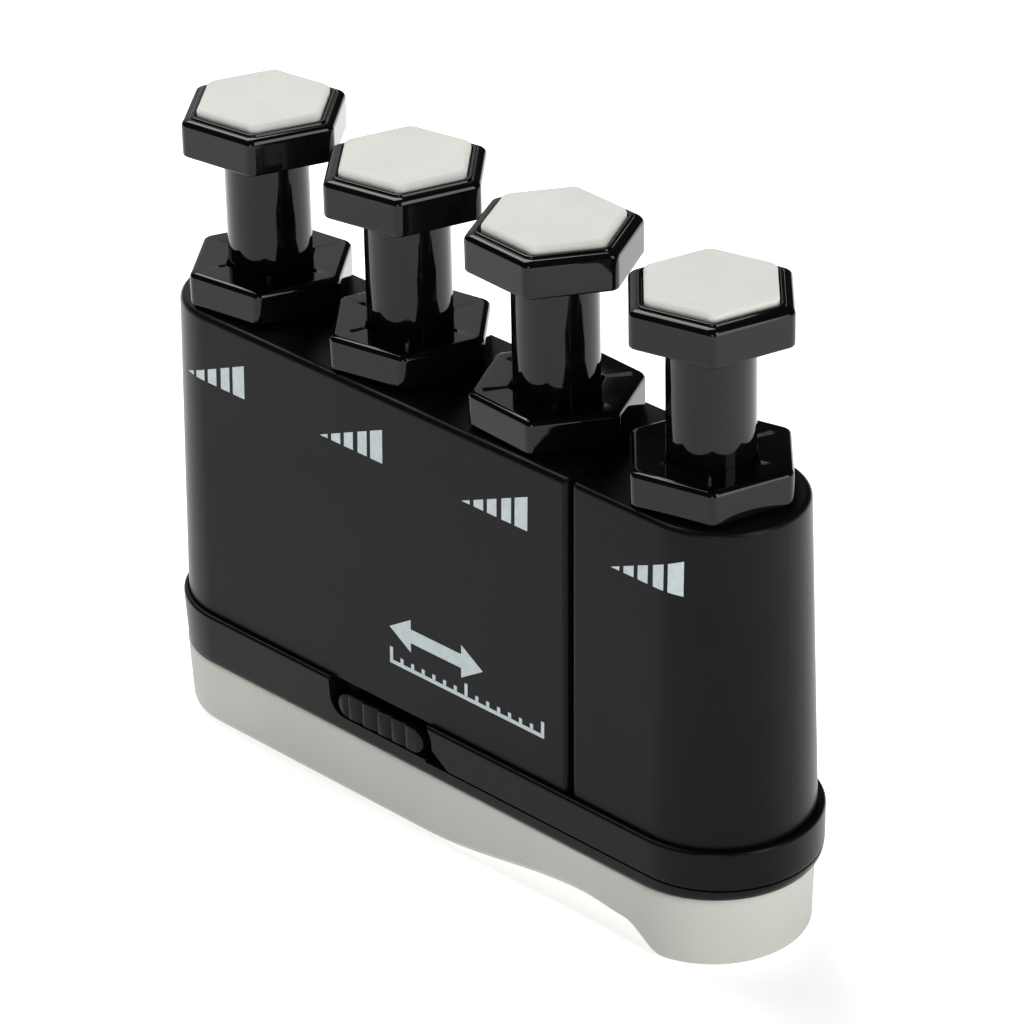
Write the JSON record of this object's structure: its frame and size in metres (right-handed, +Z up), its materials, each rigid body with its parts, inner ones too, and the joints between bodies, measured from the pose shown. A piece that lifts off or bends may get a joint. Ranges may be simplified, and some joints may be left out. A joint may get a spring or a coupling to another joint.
{
  "type": "finger exerciser",
  "caption": "Hand-therapy finger exerciser: sprung pistons with hexagonal caps and tension collars on a slim housing, sliding end module, ribbed latch and contoured palm rest.",
  "frame": {"origin": "middle of the underside of the palm rest, on the surface that the exerciser stands on", "axes": "+X along the row of pistons towards the sliding end module, +Z up through the pistons, -Y is the front with the printed marks and the latch"},
  "size_m": [0.086, 0.0216, 0.0718],
  "materials": {
    "satin_body": "satin black, fine moulded texture",
    "gloss_moulding": "polished black",
    "finger_pad": "soft matt, pale warm grey",
    "palm_rest": "soft matt, light grey",
    "spring_steel": "bright wire",
    "zinc": "zinc plated",
    "nylon": "natural nylon"
  },
  "bodies": {
    "base": {"palm_rest": "palm_rest", "base_tray": "satin_body", "detent_strip": "zinc", "main_housing": "satin_body", "housing_screw_1": "zinc", "housing_screw_2": "zinc"},
    "end_module": {"end_housing": "satin_body", "slide_carriage": "satin_body", "end_screw_1": "zinc", "end_screw_2": "zinc", "latch_spring": "spring_steel"},
    "latch": {"latch_button": "satin_body"},
    "collar_1": {"tension_collar_1": "gloss_moulding", "retaining_ring_1": "spring_steel"},
    "piston_1": {"piston_1": "gloss_moulding", "finger_cap_1": "gloss_moulding", "finger_pad_1": "finger_pad", "cap_screw_1": "zinc"},
    "seat_1": {"spring_seat_1": "nylon", "spring_1": "spring_steel"},
    "collar_2": {"tension_collar_2": "gloss_moulding", "retaining_ring_2": "spring_steel"},
    "piston_2": {"piston_2": "gloss_moulding", "finger_cap_2": "gloss_moulding", "finger_pad_2": "finger_pad", "cap_screw_2": "zinc"},
    "seat_2": {"spring_seat_2": "nylon", "spring_2": "spring_steel"},
    "collar_3": {"tension_collar_3": "gloss_moulding", "retaining_ring_3": "spring_steel"},
    "piston_3": {"piston_3": "gloss_moulding", "finger_cap_3": "gloss_moulding", "finger_pad_3": "finger_pad", "cap_screw_3": "zinc"},
    "seat_3": {"spring_seat_3": "nylon", "spring_3": "spring_steel"},
    "collar_4": {"tension_collar_4": "gloss_moulding", "retaining_ring_4": "spring_steel"},
    "piston_4": {"piston_4": "gloss_moulding", "finger_cap_4": "gloss_moulding", "finger_pad_4": "finger_pad", "cap_screw_4": "zinc"},
    "seat_4": {"spring_seat_4": "nylon", "spring_4": "spring_steel"}
  },
  "joints": [
    {"name": "extension_slide", "type": "slide", "parent": "base", "child": "end_module", "axis": [1, 0, 0], "range_m": [0, 0.0105]},
    {"name": "latch_press", "type": "slide", "parent": "end_module", "child": "latch", "axis": [0, 1, 0], "range_m": [0, 0.0009], "stiffness_N_per_m": 400, "springref_m": -0.001, "deforming": ["latch_spring"]},
    {"name": "collar_turn_1", "type": "hinge", "parent": "base", "child": "collar_1", "pos_m": [-0.03175, 0, 0.0494], "axis": [0, 0, 1], "range_deg": [-38.1, 262.1]},
    {"name": "piston_press_1", "type": "slide", "parent": "collar_1", "child": "piston_1", "axis": [0, 0, -1], "range_m": [0, 0.0125], "stiffness_N_per_m": 700, "springref_m": -0.006, "deforming": ["spring_1"]},
    {"name": "seat_lift_1", "type": "slide", "parent": "base", "child": "seat_1", "axis": [0, 0, 1], "range_m": [-0.00063, 0.00437]},
    {"name": "collar_turn_2", "type": "hinge", "parent": "base", "child": "collar_2", "pos_m": [-0.01075, 0, 0.0494], "axis": [0, 0, 1], "range_deg": [-41.1, 259.1]},
    {"name": "piston_press_2", "type": "slide", "parent": "collar_2", "child": "piston_2", "axis": [0, 0, -1], "range_m": [0, 0.0125], "stiffness_N_per_m": 700, "springref_m": -0.006, "deforming": ["spring_2"]},
    {"name": "seat_lift_2", "type": "slide", "parent": "base", "child": "seat_2", "axis": [0, 0, 1], "range_m": [-0.00068, 0.00432]},
    {"name": "collar_turn_3", "type": "hinge", "parent": "base", "child": "collar_3", "pos_m": [0.01025, 0, 0.0494], "axis": [0, 0, 1], "range_deg": [-26.6, 273.6]},
    {"name": "piston_press_3", "type": "slide", "parent": "collar_3", "child": "piston_3", "axis": [0, 0, -1], "range_m": [0, 0.0125], "stiffness_N_per_m": 700, "springref_m": -0.006, "deforming": ["spring_3"]},
    {"name": "seat_lift_3", "type": "slide", "parent": "base", "child": "seat_3", "axis": [0, 0, 1], "range_m": [-0.00044, 0.00456]},
    {"name": "collar_turn_4", "type": "hinge", "parent": "end_module", "child": "collar_4", "pos_m": [0.03125, 0, 0.0494], "axis": [0, 0, 1], "range_deg": [-44.1, 256.1]},
    {"name": "piston_press_4", "type": "slide", "parent": "collar_4", "child": "piston_4", "axis": [0, 0, -1], "range_m": [0, 0.0125], "stiffness_N_per_m": 700, "springref_m": -0.006, "deforming": ["spring_4"]},
    {"name": "seat_lift_4", "type": "slide", "parent": "end_module", "child": "seat_4", "axis": [0, 0, 1], "range_m": [-0.00073, 0.00427]}
  ],
  "couplings": [
    {"joint": "collar_turn_1", "follows": "seat_lift_1", "rad_per_m": 1047.2},
    {"joint": "collar_turn_2", "follows": "seat_lift_2", "rad_per_m": 1047.2},
    {"joint": "collar_turn_3", "follows": "seat_lift_3", "rad_per_m": 1047.2},
    {"joint": "collar_turn_4", "follows": "seat_lift_4", "rad_per_m": 1047.2}
  ]
}
